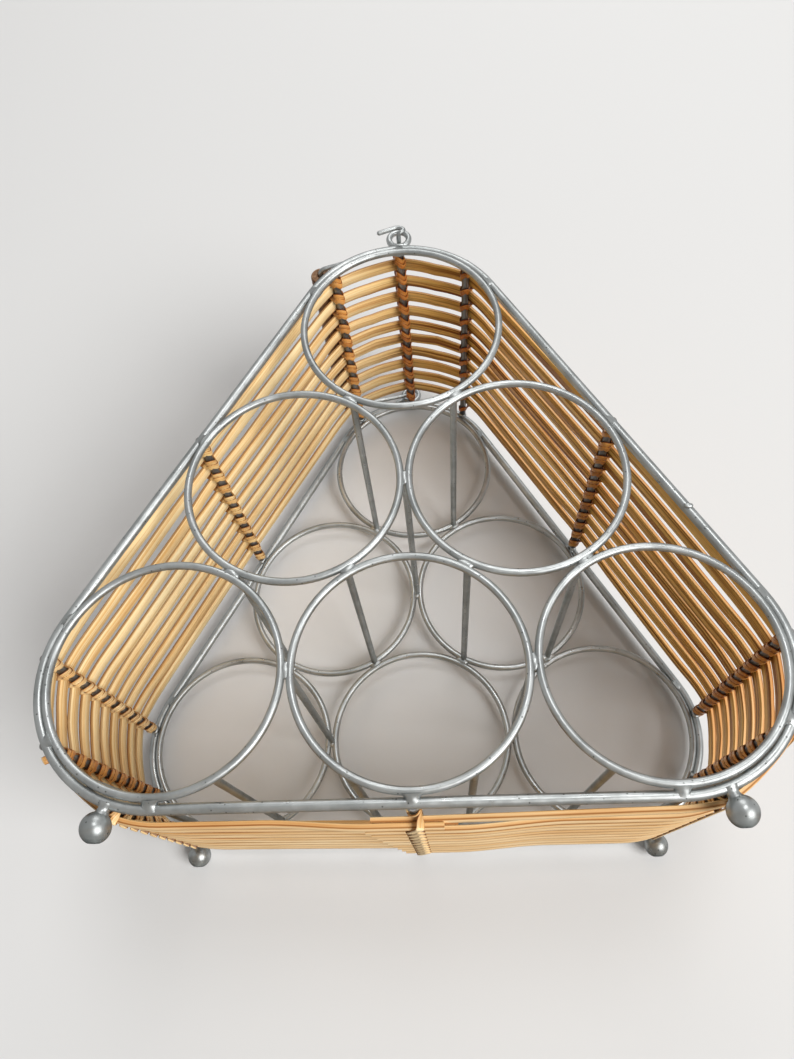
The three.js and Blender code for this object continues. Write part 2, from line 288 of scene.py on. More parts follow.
def round_off(rings, points, along, radius):
    """Domes over both ends of a tube."""
    domes = []
    for end, sign in ((0, -1), (-1, 1)):
        dome = []
        for share in DOME_STEPS:
            lift = along[end] * sign * radius * share
            shrink = math.sqrt(1 - share * share)
            dome.append([points[end] + lift + (p - points[end]) * shrink for p in rings[end]])
        domes.append(dome)
    return domes[0][::-1] + rings + domes[1]


def rod(start, end, radius, sides=16):
    return tube([start, start.lerp(end, 0.5), end], radius, sides)


def lathe(profile, at, axis, sides=32, closed=False):
    """A skin of rings about an axis, from (distance along it, radius) pairs."""
    right = axis.orthogonal().normalized()
    up = axis.cross(right)
    rings = [ring(at + axis * run, right, up, circle(radius, sides)) for run, radius in profile]
    return {"rings": rings, "closed": closed}


def bead(at, along, across, size, seed):
    """A lump of weld: an uneven ellipsoid, long way first."""
    third = along.cross(across).normalized()
    rings = []
    steps = 9
    for i in range(1, steps):
        a = math.pi * i / steps
        row = []
        for x, y in circle(1, 14):
            reach = math.sin(a) ** BEAD_FULLNESS
            p = along * (-math.cos(a) * size[0]) + across * (x * reach * size[1])
            p += third * (y * reach * size[2])
            lump = 1 + BEAD_LUMP * noise.noise(p * BEAD_WAVES + Vector((seed, seed * 1.7, 0)))
            row.append(at + p * lump / 2)
        rings.append(row)
    return {"rings": rings, "closed": False}


def weld_web(start, end, along, wide, deep, seed):
    """A bridge of weld between two wires, waisted in its middle and a little lumpy."""
    across = (end - start).normalized()
    third = across.cross(along).normalized()
    rings = []
    steps = 12
    for i in range(steps + 1):
        t = i / steps
        flare = 1 + WEB_FLARE * (2 * t - 1) ** 2
        at = start.lerp(end, t)
        row = []
        for x, y in circle(1, 16):
            p = along * (x * wide * flare / 2) + third * (y * deep / 2)
            lump = 1 + WEB_LUMP * noise.noise((at + p) * WEB_WAVES + Vector((seed, 0, 0)))
            row.append(at + p * lump)
        rings.append(row)
    return {"rings": rings, "closed": False}


def build_mesh(name, skins):
    vertices, faces, grain = [], [], []
    for part in skins:
        rings = part["rings"]
        sides = len(rings[0])
        base = len(vertices)
        vertices.extend(p for row in rings for p in row)
        grain.extend(part.get("grain") or [(0, 0, 0)] * (len(rings) * sides))
        count = len(rings) if part["closed"] else len(rings) - 1
        for i in range(count):
            here = base + i * sides
            there = base + ((i + 1) % len(rings)) * sides
            for j in range(sides):
                k = (j + 1) % sides
                faces.append((here + j, here + k, there + k, there + j))
        if not part["closed"]:
            faces.append(tuple(base + j for j in reversed(range(sides))))
            faces.append(tuple(base + (len(rings) - 1) * sides + j for j in range(sides)))
    mesh = bpy.data.meshes.new(name)
    mesh.from_pydata(vertices, [], faces)
    layer = mesh.attributes.new("grain", "FLOAT_VECTOR", "POINT")
    layer.data.foreach_set("vector", [value for row in grain for value in row])
    return mesh


def sharpen(mesh, degrees):
    """Marks the edges between faces that meet at more than an angle, so that the rest shades smooth."""
    work = bmesh.new()
    work.from_mesh(mesh)
    bmesh.ops.recalc_face_normals(work, faces=work.faces)
    for face in work.faces:
        face.smooth = True
    for edge in work.edges:
        if edge.is_manifold and edge.calc_face_angle(0) > math.radians(degrees):
            edge.smooth = False
    work.to_mesh(mesh)
    work.free()


def piece(name, skins, slot, nodes=(), body="rack", sharp=40, finish=None):
    """One visible piece, riding on its body in place of the nodes that it stands for."""
    mesh = build_mesh(name, skins)
    sharpen(mesh, sharp)
    mesh.materials.append(finish or MATERIALS[slot])
    made = bpy.data.objects.new(name, mesh)
    bpy.context.scene.collection.objects.link(made)
    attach(made, body)
    if nodes:
        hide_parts(*nodes)
    return made


# Materials
WHITE = (1.0, 1.0, 1.0)


def shader(name):
    material = bpy.data.materials.new(name)
    material.use_nodes = True
    tree = material.node_tree
    return material, tree, tree.nodes["Principled BSDF"]


def fill(tree, socket, value):
    """Gives a socket a value, or links it to another socket."""
    if isinstance(value, bpy.types.NodeSocket):
        tree.links.new(value, socket)
    elif socket.type == "RGBA":
        socket.default_value = (*value, 1)
    else:
        socket.default_value = value


def add(tree, kind, settings=None, **sockets):
    """A node with its settings, and its sockets filled."""
    made = tree.nodes.new(kind)
    for key, value in (settings or {}).items():
        setattr(made, key, value)
    for key, value in sockets.items():
        fill(tree, made.inputs[key.replace("_", " ")], value)
    return made


def maths(tree, operation, *values):
    """One sum on values or sockets."""
    made = add(tree, "ShaderNodeMath", {"operation": operation})
    for socket, value in zip(made.inputs, values):
        fill(tree, socket, value)
    return made.outputs[0]


def ramp(tree, source, stops):
    """Colours by a value from 0 to 1."""
    made = tree.nodes.new("ShaderNodeValToRGB")
    tree.links.new(source, made.inputs[0])
    elements = made.color_ramp.elements
    while len(elements) < len(stops):
        elements.new(0.5)
    for element, (place, colour) in zip(elements, stops):
        element.position = place
        element.color = (*colour, 1)
    return made.outputs["Color"]


def grey(level):
    return (level, level, level)


def mixed(tree, share, first, second, blend="MIX"):
    """Two colours mixed by a share. The node's colour sockets are numbers 6 and 7."""
    made = add(tree, "ShaderNodeMix", {"data_type": "RGBA", "blend_type": blend})
    for index, value in ((0, share), (6, first), (7, second)):
        fill(tree, made.inputs[index], value)
    return made.outputs[2]


def tinted(tree, share, colour, tint):
    """A colour with a share of a tint laid over it."""
    return mixed(tree, share, colour, tint, "MULTIPLY")


def noise_value(tree, source, scale, detail, rough=0.5):
    made = add(tree, "ShaderNodeTexNoise", Vector=source, Scale=scale, Detail=detail, Roughness=rough)
    return made.outputs["Fac"]


def streaks(tree, place, scale, detail, rough=0.5):
    """Noise with its own scale along each axis of the grain."""
    drawn_out = add(tree, "ShaderNodeMapping", Vector=place, Scale=scale).outputs[0]
    return noise_value(tree, drawn_out, 1, detail, rough)


def relief(tree, surface, height, strength, distance):
    """Raises a surface by a value."""
    bump = add(tree, "ShaderNodeBump", Height=height, Strength=strength, Distance=distance)
    tree.links.new(bump.outputs["Normal"], surface.inputs["Normal"])


def steel(name, dark, light):
    """Silver-grey satin paint on wire, a little patchy, with fine pits."""
    material, tree, surface = shader(name)
    place = tree.nodes.new("ShaderNodeTexCoord").outputs["Object"]
    patches = noise_value(tree, place, 55, 4, 0.6)
    fine = noise_value(tree, place, 1400, 3, 0.6)
    tone = ramp(tree, patches, [(0.36, dark), (0.62, light)])
    pits = add(tree, "ShaderNodeTexVoronoi", Vector=place, Scale=330).outputs["Distance"]
    pit_mask = ramp(tree, pits, [(0.05, grey(0.0)), (0.16, grey(1.0))])
    colour = mixed(tree, pit_mask, (0.12, 0.125, 0.12), tone)
    tree.links.new(colour, surface.inputs["Base Color"])
    gloss = ramp(tree, noise_value(tree, place, 190, 3), [(0.3, grey(0.27)), (0.7, grey(0.40))])
    tree.links.new(gloss, surface.inputs["Roughness"])
    surface.inputs["Metallic"].default_value = 0.9
    surface.inputs["Specular Tint"].default_value = (0.45, 0.46, 0.46, 1)
    pitted = add(tree, "ShaderNodeBump", Height=pit_mask, Strength=0.35, Distance=0.0001)
    worn = add(tree, "ShaderNodeBump", Height=fine, Strength=0.25, Distance=0.00006)
    tree.links.new(pitted.outputs["Normal"], worn.inputs["Normal"])
    tree.links.new(worn.outputs["Normal"], surface.inputs["Normal"])
    return material


# Where the skin of a slat begins and is full, and its outer corners, which carry painted shade, as shares
# of its thickness
SKIN_SHARES = (-0.48, -0.20)
SHADED_CORNER_SHARES = (0.10, 0.30)

# What the tone of an edge takes to fade in, as a share of its strip's width
EDGE_FADE = 0.07


def grain_place(tree):
    return add(tree, "ShaderNodeAttribute", {"attribute_name": "grain"}).outputs["Vector"]


def between(tree, value, low, high, way="LINEAR"):
    """From 0 at one value to 1 at another."""
    settings = {"interpolation_type": way}
    return add(tree, "ShaderNodeMapRange", settings, Value=value, From_Min=low, From_Max=high).outputs[0]


def part_of(tree, place, axis):
    return add(tree, "ShaderNodeSeparateXYZ", Vector=place).outputs[axis]


def skin_share(tree, place):
    """From 0 on the inner side of a slat to 1 on its outer side and edges, where it still has its skin."""
    bare, full = (share * SLAT_THICKNESS for share in SKIN_SHARES)
    return between(tree, part_of(tree, place, "Z"), bare, full)


def edge_share(tree, place, width, start):
    """From 0 over the middle of a strip to 1 along both edges, from a share of its width on."""
    off_middle = maths(tree, "ABSOLUTE", part_of(tree, place, "Y"))
    return between(tree, off_middle, start * width, (start + EDGE_FADE) * width)


def shaded_corner_share(tree, place):
    """1 along the outer corners of a slat, where shade is painted, and 0 elsewhere."""
    edge = edge_share(tree, place, SLAT_WIDTH, 0.34)
    low, high = (share * SLAT_THICKNESS for share in SHADED_CORNER_SHARES)
    outer = between(tree, part_of(tree, place, "Z"), low, high)
    return maths(tree, "MULTIPLY", edge, outer)


def shaded_right_slope(tree, colour, tint):
    """Painted shade: a deeper tone over the right slope, which lies in shade."""
    place = tree.nodes.new("ShaderNodeTexCoord").outputs["Object"]
    out = add(tree, "ShaderNodeVectorMath", {"operation": "DOT_PRODUCT"})
    fill(tree, out.inputs[0], place)
    fill(tree, out.inputs[1], facing(30))
    reach = facing(30).dot(CENTRE["low_right"]) + SLAT_OUTER
    share = between(tree, out.outputs["Value"], reach - RIGHT_SHADE_DEPTH, reach - RIGHT_SHADE_SKIN, "SMOOTHSTEP")
    return tinted(tree, share, colour, tint)


FIBRE_TONES = [(0.26, (0.52, 0.27, 0.08)), (0.40, (0.96, 0.69, 0.35)), (0.60, (1.0, 0.83, 0.50))]
CANE_TONES = [(0.3, (0.40, 0.16, 0.04)), (0.44, (0.90, 0.58, 0.24)), (0.60, (1.0, 0.84, 0.52))]
WOOD_TONES = [(0.3, (0.12, 0.058, 0.03)), (0.5, (0.30, 0.165, 0.09)), (0.72, (0.47, 0.30, 0.18))]


def rattan():
    """Split rattan: pale, with fine lengthwise fibres. Its sides are darker, partly their own amber and
    partly painted shade; its outer corners and the right slope carry painted shade.
    """
    material, tree, surface = shader("split_rattan")
    place = grain_place(tree)
    fibres = streaks(tree, place, (14, 1500, 1500), 4, 0.65)
    bands = streaks(tree, place, (7, 480, 480), 3, 0.6)
    blotches = streaks(tree, place, (26, 60, 60), 3, 0.55)
    slow = streaks(tree, place, (4.1, 0, 0), 1)
    pale = ramp(tree, fibres, FIBRE_TONES)
    warm = ramp(tree, bands, [(0.36, (0.78, 0.58, 0.34)), (0.52, WHITE)])
    dull = ramp(tree, blotches, [(0.3, (0.80, 0.68, 0.50)), (0.55, WHITE)])
    each = ramp(tree, slow, [(0.38, (0.84, 0.66, 0.44)), (0.56, WHITE)])
    colour = tinted(tree, 0.75, pale, warm)
    colour = tinted(tree, 0.35, colour, dull)
    colour = tinted(tree, 0.5, colour, each)
    skin = tinted(tree, 1.0, colour, (1.0, 0.95, 0.98))
    # Darker sides: partly the edge's own amber tone, partly painted shade on the sides of the slat
    skin = tinted(tree, edge_share(tree, place, SLAT_WIDTH, 0.36), skin, (0.80, 0.68, 0.54))
    # Painted shade along the outer corners, where the gaps between slats fall dark
    skin = tinted(tree, shaded_corner_share(tree, place), skin, (0.48, 0.31, 0.17))
    # Painted shade over the right slope: a deep amber on the inner side of the slats, and a faint one on
    # their outer side
    amber = ramp(tree, bands, [(0.38, (0.34, 0.16, 0.02)), (0.54, (1.0, 0.79, 0.40))])
    inner = shaded_right_slope(tree, colour, amber)
    outer = shaded_right_slope(tree, skin, (1.0, 0.95, 0.94))
    colour = mixed(tree, skin_share(tree, place), inner, outer)
    tree.links.new(colour, surface.inputs["Base Color"])
    gloss = ramp(tree, fibres, [(0.3, grey(0.62)), (0.7, grey(0.46))])
    tree.links.new(gloss, surface.inputs["Roughness"])
    surface.inputs["Specular IOR Level"].default_value = 0.18
    relief(tree, surface, fibres, 0.5, 0.00012)
    return material


def shaded_between_slats(tree, colour, place):
    """Painted shade on the cane where it is pinched between slats, and a paler tone outside them."""
    depth = part_of(tree, place, "Z")
    between_shade = between(tree, depth, 0.2 * DEPTH_MARK, DEPTH_MARK)
    outside_share = between(tree, depth, -0.2 * DEPTH_MARK, -DEPTH_MARK)
    pale = mixed(tree, 0.6, colour, (1.0, 0.80, 0.50))
    return mixed(tree, outside_share, tinted(tree, between_shade, colour, (0.30, 0.20, 0.13)), pale)


def cane(name, cane_tint):
    """Cane with its own smooth skin, streaked lengthwise, under a given tint, which in its paler and
    darker copies paints light and shade on it. Its edges, its stretches between slats and the right slope
    carry painted shade.
    """
    material, tree, surface = shader(name)
    place = grain_place(tree)
    lines = streaks(tree, place, (30, 1900, 1900), 4, 0.6)
    patches = streaks(tree, place, (42, 120, 120), 2)
    worn = ramp(tree, patches, [(0.35, (0.60, 0.46, 0.36)), (0.56, WHITE)])
    colour = ramp(tree, lines, CANE_TONES)
    colour = tinted(tree, 0.8, colour, worn)
    colour = tinted(tree, 1.0, colour, cane_tint)
    # Painted shade along both edges of the strip
    colour = tinted(tree, edge_share(tree, place, CANE_WIDTH, 0.41), colour, (0.36, 0.19, 0.10))
    # Painted shade over the right slope
    colour = shaded_right_slope(tree, colour, (0.80, 0.56, 0.32))
    # Painted shade between the slats, and a paler tone outside them
    colour = shaded_between_slats(tree, colour, place)
    tree.links.new(colour, surface.inputs["Base Color"])
    surface.inputs["Roughness"].default_value = 0.36
    surface.inputs["Specular IOR Level"].default_value = 0.3
    relief(tree, surface, lines, 0.35, 0.00008)
    return material


def turned_wood():
    """Dull brown wood, grained along the grip and ringed on its ends."""
    material, tree, surface = shader("turned_wood")
    place = grain_place(tree)
    grain = streaks(tree, place, (18, 700, 700), 5, 0.6)
    across = add(tree, "ShaderNodeCombineXYZ", X=part_of(tree, place, "Y"), Y=part_of(tree, place, "Z"))
    rings = add(tree, "ShaderNodeTexWave", {"wave_type": "RINGS", "rings_direction": "Z"},
                Vector=across.outputs[0], Scale=170, Distortion=3.0, Detail=2)
    ringed = ramp(tree, rings.outputs["Fac"], [(0.2, (0.72, 0.66, 0.6)), (0.7, WHITE)])
    colour = tinted(tree, 0.7, ramp(tree, grain, WOOD_TONES), ringed)
    tree.links.new(colour, surface.inputs["Base Color"])
    surface.inputs["Roughness"].default_value = 0.58
    surface.inputs["Specular IOR Level"].default_value = 0.2
    relief(tree, surface, grain, 0.4, 0.0001)
    return material


MATERIALS = {
    "steel": steel("satin_steel", (0.34, 0.356, 0.352), (0.50, 0.518, 0.513)),
    "rattan": rattan(),
    "cane": cane("cane_skin", (0.95, 0.84, 0.64)),
    "turned_wood": turned_wood(),
}
# Paler and darker copies of the cane: painted light and painted shade for the lashings that get them
LIT_CANE = cane("lit_cane_skin", (1.0, 0.97, 0.92))
SHADED_CANE = cane("shaded_cane_skin", (0.84, 0.56, 0.30))
# Darker steel for the ribs: painted shade where they lie under the cane and slats
SHADED_RIB_STEEL = steel("shaded_rib_steel", (0.15, 0.145, 0.14), (0.30, 0.29, 0.28))


# Hoops: each front hoop has the two rods under its bottle
HOOP_STEPS = 96
CRADLE_ANGLES = (240, 300)


def hoop(cell, end):
    points = [around(cell, HOOP_RADIUS, 360 * i / HOOP_STEPS, HOOP_Y[end]) for i in range(HOOP_STEPS)]
    return tube(points, HOOP_WIRE / 2, closed=True)


for cell in CELLS:
    skins = [hoop(cell, "front")]
    for degrees in CRADLE_ANGLES:
        start = around(cell, HOOP_RADIUS, degrees, HOOP_Y["front"])
        end = around(cell, HOOP_RADIUS, degrees, HOOP_Y["back"])
        skins.append(rod(start, end, CRADLE_ROD / 2))
    piece(f"bottle_hoop_front_{cell}", skins, "steel", [f"front_hoop_{cell}"])
    piece(f"bottle_hoop_back_{cell}", [hoop(cell, "back")], "steel", [f"back_hoop_{cell}"])

for name in ("upper", "left", "right"):
    at = middle(f"spacer_rod_{name}")
    ends = [Vector((at.x, HOOP_Y[end], at.z)) for end in ("front", "back")]
    piece(f"row_rod_{name}", [rod(*ends, CRADLE_ROD / 2)], "steel", [f"spacer_rod_{name}"])


# The rounded triangle at a reach, as points with the way that the outline faces
def outline(reach, step=4):
    stations = []
    for cell, mid in CORNERS.values():
        first = mid - CORNER_SWEEP / 2
        for i in range(CORNER_SWEEP // step + 1):
            degrees = first + step * i
            stations.append((around(cell, reach, degrees), facing(degrees)))
    return stations


def filled(stations, longest):
    """The same outline with points added along its straight sides."""
    out = [stations[0]]
    for (start, face), (end, next_face) in zip(stations, stations[1:]):
        count = max(1, math.ceil((end - start).length / longest))
        for i in range(1, count + 1):
            t = i / count
            out.append((start.lerp(end, t), face.lerp(next_face, t).normalized()))
    return out


for end, y in FRAME_Y.items():
    points = [at + Y_AXIS * y for at, _ in outline(FRAME_REACH)]
    bar = tube(points, FRAME_ROD / 2, 20, closed=True)
    piece(f"outer_frame_{end}", [bar], "steel", [f"{end}_frame_rod"])


# Ribs, and the cell and angle at which each stands
RIB_SPREAD = 40
RIBS = {f"{side}_middle": place for side, place in SIDES.items()}
for corner, (cell, mid) in CORNERS.items():
    for place, turn in (("before", -RIB_SPREAD), ("corner", 0), ("after", RIB_SPREAD)):
        RIBS[f"{corner}_{place}"] = (cell, mid + turn)

# The ribs take the darker steel, which is painted shade under the cane
for name, (cell, degrees) in RIBS.items():
    ends = [around(cell, RIB_REACH, degrees, FRAME_Y[end]) for end in ("front", "back")]
    piece(f"slat_rib_{name}", [rod(*ends, RIB_ROD / 2)], "steel", [f"rib_{name}"], finish=SHADED_RIB_STEEL)


# Slats, tied at the ribs and free to drift a little between them
TIES = [around(cell, (SLAT_INNER + SLAT_OUTER) / 2, degrees) for cell, degrees in RIBS.values()]


def ease(t):
    t = min(max(t, 0.0), 1.0)
    return t * t * (3 - 2 * t)


def pulled(stations, reach):
    """The same outline, drawn part of the way to the straight lines between its ribs."""
    ties = [around(cell, reach, degrees) for cell, degrees in RIBS.values()]
    held = sorted({min(range(len(stations)), key=lambda i: (stations[i][0] - tie).length) for tie in ties})
    points = [at.copy() for at, _ in stations]
    for first, last in zip(held, held[1:]):
        start, end = stations[first][0], stations[last][0]
        way = (end - start).normalized()
        for i in range(first + 1, last):
            at = stations[i][0]
            points[i] = at.lerp(start + way * (at - start).dot(way), SLAT_TAUT)
    along = directions(points)
    return [(at, Y_AXIS.cross(way)) for at, way in zip(points, along)]


def slat_stations(splice_end, mirrored):
    """A slat's middle line: under the base, up a ramp, round the triangle and back over its own start."""
    reach = (SLAT_INNER + SLAT_OUTER) / 2
    down = Vector((0, 0, -1))
    start = []
    steps = 16
    for i in range(steps + 1):
        x = SPLICE_START + SPLICE_RAMP * i / steps
        drop = LAYER * (1 - ease(i / steps))
        start.append((Vector((x, 0, BASE_Z - reach - drop)), down))
    tail = (Vector((-splice_end, 0, BASE_Z - reach - LAYER)), down)
    last = (Vector((SPLICE_START, 0, BASE_Z - reach)), down)
    stations = pulled(filled([tail, *start, *outline(reach), last], SLAT_STATION), reach)
    if mirrored:
        flip = Vector((-1, 1, 1))
        stations = [(at * flip, face * flip) for at, face in stations]
    return stations


# Each unevenness of the slats has noise of its own: its step from slat to slat, and its layer
DRIFT_NOISE = (3.7, 0)
LIFT_NOISE = (2.3, 9)
WIDTH_NOISE = (5.1, 4)
SLAT_GRAIN_STEP = 1.7


def slat_noise(place, index, kind):
    step, layer = kind
    return noise.noise(Vector((place, index * step, layer)))


def slat_skin(index, splice_end, mirrored):
    y = middle(SLAT_NODES[index]).y
    stations = slat_stations(splice_end, mirrored)
    run = lengths([at for at, _ in stations])
    section = slat_outline(SLAT_WIDTH, SLAT_THICKNESS)
    rings, grain = [], []
    for (at, face), along in zip(stations, run):
        free = ease((min((at - tie).length for tie in TIES) - SLAT_TIED) / DRIFT_LENGTH)
        wander = slat_noise(along * DRIFT_WAVES, index, DRIFT_NOISE) * free
        if at.z < BASE_Z - SLAT_INNER:
            wander *= BASE_DRIFT
        lift = slat_noise(along * SLAT_WAVES, index, LIFT_NOISE)
        uneven = slat_noise(along * SLAT_WAVES, index, WIDTH_NOISE)
        swell = TIED_SWELL + (1 - TIED_SWELL) * free
        wide = 1 + SLAT_SWELL * swell + SLAT_UNEVEN * uneven
        middle_at = at + Y_AXIS * (y + SLAT_DRIFT * wander) + face * (SLAT_LIFT * lift)
        rings.append([middle_at + Y_AXIS * (x * wide) + face * z for x, z in section])
        grain.extend((along + index * SLAT_GRAIN_STEP, x, z) for x, z in section)
    return {"rings": rings, "closed": False, "grain": grain}


# The front slat goes round the other way
for index, node in enumerate(SLAT_NODES):
    mirrored = index == 0
    last_step = len(SLAT_NODES) - 1 - index
    splice_end = FIRST_SPLICE_END if mirrored else SPLICE_END + SPLICE_STEP * last_step
    piece(f"rattan_{node}", [slat_skin(index, splice_end, mirrored)], "rattan", [node], sharp=55)


# Lashings: in a rib's own directions, x across it, y out from the cell's centre and z along it
ACROSS = Vector((1, 0, 0))
OUT = Vector((0, 1, 0))

# Steps of the strip through a gap and over a slat, and its grain's step from rib to rib
GAP_STEPS = 7
OVER_STEPS = 6
CANE_GRAIN_STEP = 3.1


def half_wrap(places, radii, first, lean):
    """Half a turn round the rib, as places, the way the strip faces, and its width as a share."""
    stations = []
    inner = first % 2
    steps = 12
    for i in range(steps + 1):
        t = i / steps
        a = math.pi * (first + t)
        away = Vector((math.cos(a), math.sin(a), 0))
        lift = radii[0] + (radii[1] - radii[0]) * ease(t)
        along = places[0] + (places[1] - places[0]) * ease(t) + inner * lean * math.sin(2 * math.pi * t)
        at = Vector((0, RIB_REACH, along)) + away * lift
        stations.append((at, away, 1 - inner * WRAP_NARROWS * math.sin(math.pi * t) ** 2))
    return stations


def wraps_at(here, doubled, lean):
    """The wraps in one gap: round the rib's inner side, and if doubled behind it and round again."""
    wrap = RIB_ROD / 2 + WRAP_GAP + CANE_THICKNESS / 2
    if not doubled:
        return half_wrap((here, here), (wrap, wrap), 1, lean)
    over = wrap + WRAP_LIFT
    before = here - WRAP_SPREAD
    after = here + WRAP_SPREAD
    stations = half_wrap((before, before), (wrap, wrap), 1, lean)
    stations += half_wrap((before, after), (wrap, over), 2, 0)[1:]
    stations += half_wrap((after, after), (over, over), 3, lean)[1:]
    return stations


def with_face(points, first, last):
    n = len(points) - 1
    return [(p, first.lerp(last, i / n).normalized(), 1) for i, p in enumerate(points)]


def cane_turn(here, outer, doubled, lean):
    """One turn: round the rib in a gap, out through the gap, over the slat and back in."""
    following = here + SLAT_PITCH
    over = Vector((-2 * CANE_CROSS, 0, SLAT_PITCH)).normalized()
    stations = wraps_at(here, doubled, lean)
    next_wraps = wraps_at(following, doubled, lean)
    bend = over * CANE_BEND
    out_corner = Vector((CANE_CROSS, outer, here))
    in_corner = Vector((-CANE_CROSS, outer, following))
    out_foot = stations[-1][0]
    in_foot = next_wraps[0][0]
    out_end = out_corner + (out_foot - out_corner).normalized() * CANE_BEND
    in_start = in_corner + (in_foot - in_corner).normalized() * CANE_BEND
    for i in range(1, GAP_STEPS):
        t = i / GAP_STEPS
        stations.append((out_foot.lerp(out_end, t), ACROSS.lerp(-over, ease(t)).normalized(), 1))
    first, last = out_corner + bend, in_corner - bend
    stations += with_face(bend_points(out_end, out_corner, first), -over, OUT)
    stations += [(first.lerp(last, i / OVER_STEPS), OUT, 1) for i in range(1, OVER_STEPS)]
    stations += with_face(bend_points(last, in_corner, in_start), OUT, over)
    for i in range(1, GAP_STEPS):
        t = i / GAP_STEPS
        stations.append((in_start.lerp(in_foot, t), over.lerp(-ACROSS, ease(t)).normalized(), 1))
    return stations


def cane_section():
    """A strip flat inside and domed outside."""
    points = []
    for x, y in circle(1, CANE_SIDES):
        height = CANE_DOME if y > 0 else 0.5
        across = math.copysign(abs(x) ** CANE_SQUARE, x)
        up = math.copysign(abs(y) ** CANE_FLAT, y)
        points.append((across * CANE_WIDTH / 2, up * height * CANE_THICKNESS))
    return points


def depth_mark(reach, outer, exposed):
    """Up to 1 mark between two slats, and down to -1 mark outside them."""
    pinch = 0 if exposed else ease((reach - RIB_REACH - RIB_ROD / 2) / SLAT_THICKNESS * 2)
    outside = ease((reach - outer + CANE_THICKNESS) / CANE_THICKNESS)
    return DEPTH_MARK * (pinch - 2 * outside)


def lashing_skin(cell, degrees, outer, seed, doubled, lean):
    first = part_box(SLAT_NODES[0])[0].y - SLAT_GAP / 2
    count = len(SLAT_NODES)
    places = [first + SLAT_PITCH * turn for turn in range(count + 1)]
    stations = [s for here in places[:-1] for s in cane_turn(here, outer, doubled, lean)]
    stations += wraps_at(places[-1], doubled, lean)
    points = [at for at, _, _ in stations]
    along = directions(points)
    run = lengths(points)
    section = cane_section()
    a = math.radians(degrees)
    basis = Matrix((
        (-math.sin(a), math.cos(a), 0),
        (0, 0, 1),
        (math.cos(a), math.sin(a), 0),
    ))
    centre = Vector((CENTRE[cell].x, 0, CENTRE[cell].z))
    rings, grain = [], []
    for (at, away, wide), way, distance in zip(stations, along, run):
        face = (away - way * away.dot(way)).normalized()
        edge = way.cross(face) * wide
        rings.append([centre + basis @ (at + edge * x + face * y) for x, y in section])
        mark = depth_mark(at.y, outer, at.z < places[0] + SLAT_PITCH / 2)
        grain.extend((distance + seed * CANE_GRAIN_STEP, x, y + mark) for x, y in section)
    return {"rings": rings, "closed": False, "grain": grain}


SINGLE_WRAPS = ("top_before",)
# Lashings given the paler cane carry painted light, and those given the darker cane carry painted shade
CANE_LIGHTING = {
    "base_middle": LIT_CANE, "left_before": LIT_CANE, "left_after": LIT_CANE,
    "top_before": SHADED_CANE, "top_corner": SHADED_CANE, "top_after": SHADED_CANE, "left_corner": SHADED_CANE,
}
for seed, (name, (cell, degrees)) in enumerate(RIBS.items()):
    outer = CANE_OUTER + (LAYER if name == "base_middle" else 0)
    to_right = facing(degrees).x > 0.01
    lean = -WRAP_LEAN if to_right else WRAP_LEAN
    skin = lashing_skin(cell, degrees, outer, seed, name not in SINGLE_WRAPS, lean)
    finish = CANE_LIGHTING.get(name)
    piece(f"cane_binding_{name}", [skin], "cane", [f"lashing_{name}"], sharp=60, finish=finish)


# Feet: a ball, its neck and the flare that saddles the frame rod are turned about one axis
NECK_STEPS = 6
BALL_STEPS = 24


def foot_skin(node):
    ball = middle(node)
    ball.z = FOOT_BALL / 2 - FOOT_FLAT
    cell = "low_left" if ball.x < 0 else "low_right"
    centre = Vector((CENTRE[cell].x, ball.y, CENTRE[cell].z))
    axis = (ball - centre).normalized()
    reach = (ball - centre).length
    radius = FOOT_BALL / 2
    neck_from = FRAME_REACH - reach
    meet = -math.sqrt(radius ** 2 - (FOOT_NECK / 2) ** 2)
    profile = []
    for i in range(NECK_STEPS + 1):
        t = i / NECK_STEPS
        at_ball = ease((t - BALL_FLARE_FROM) / (1 - BALL_FLARE_FROM))
        flare = 1 + SADDLE_FLARE * (1 - ease(t * SADDLE_FADE)) + BALL_FLARE * at_ball
        profile.append((neck_from + (meet - neck_from) * t, FOOT_NECK / 2 * flare))
    start = math.acos(-meet / radius)
    for i in range(1, BALL_STEPS + 1):
        a = start + (math.pi - start) * i / BALL_STEPS
        profile.append((-math.cos(a) * radius, max(math.sin(a) * radius, BALL_TIP)))
    made = lathe(profile, ball, axis, 32)
    for row in made["rings"]:
        for p in row:
            p.z = max(p.z, 0.0)
    return made


for end in ("front", "back"):
    for side in ("left", "right"):
        node = f"foot_{end}_{side}"
        piece(f"ball_{node}", [foot_skin(node)], "steel", [node], sharp=35)


# Eyes on top of the frame rods
def eye_skin(end):
    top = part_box(f"eye_{end}")[1].z
    centre = Vector((0, FRAME_Y[end], top - EYE_OUTER / 2))
    radius = (EYE_OUTER - EYE_WIRE) / 2
    points = [centre + Vector((radius * x, 0, radius * y)) for x, y in circle(1, 48)]
    return tube(points, EYE_WIRE / 2, 16, closed=True)


for end in FRAME_Y:
    piece(f"handle_eye_{end}", [eye_skin(end)], "steel", [f"eye_{end}"])


# Welds join the hoops to each other and to the frame rods, and the ribs and eyes to the frame rods
JOINED = (
    ("top", "mid_left"), ("top", "mid_right"), ("mid_left", "mid_right"),
    ("mid_left", "low_left"), ("mid_left", "low_middle"), ("mid_right", "low_middle"),
    ("mid_right", "low_right"), ("low_left", "low_middle"), ("low_middle", "low_right"),
)
FRAME_CONTACTS = [(cell, mid + turn) for cell, mid in CORNERS.values() for turn in (-60, 0, 60)]
FRAME_CONTACTS += SIDES.values()
SEED_STEP = 7.3


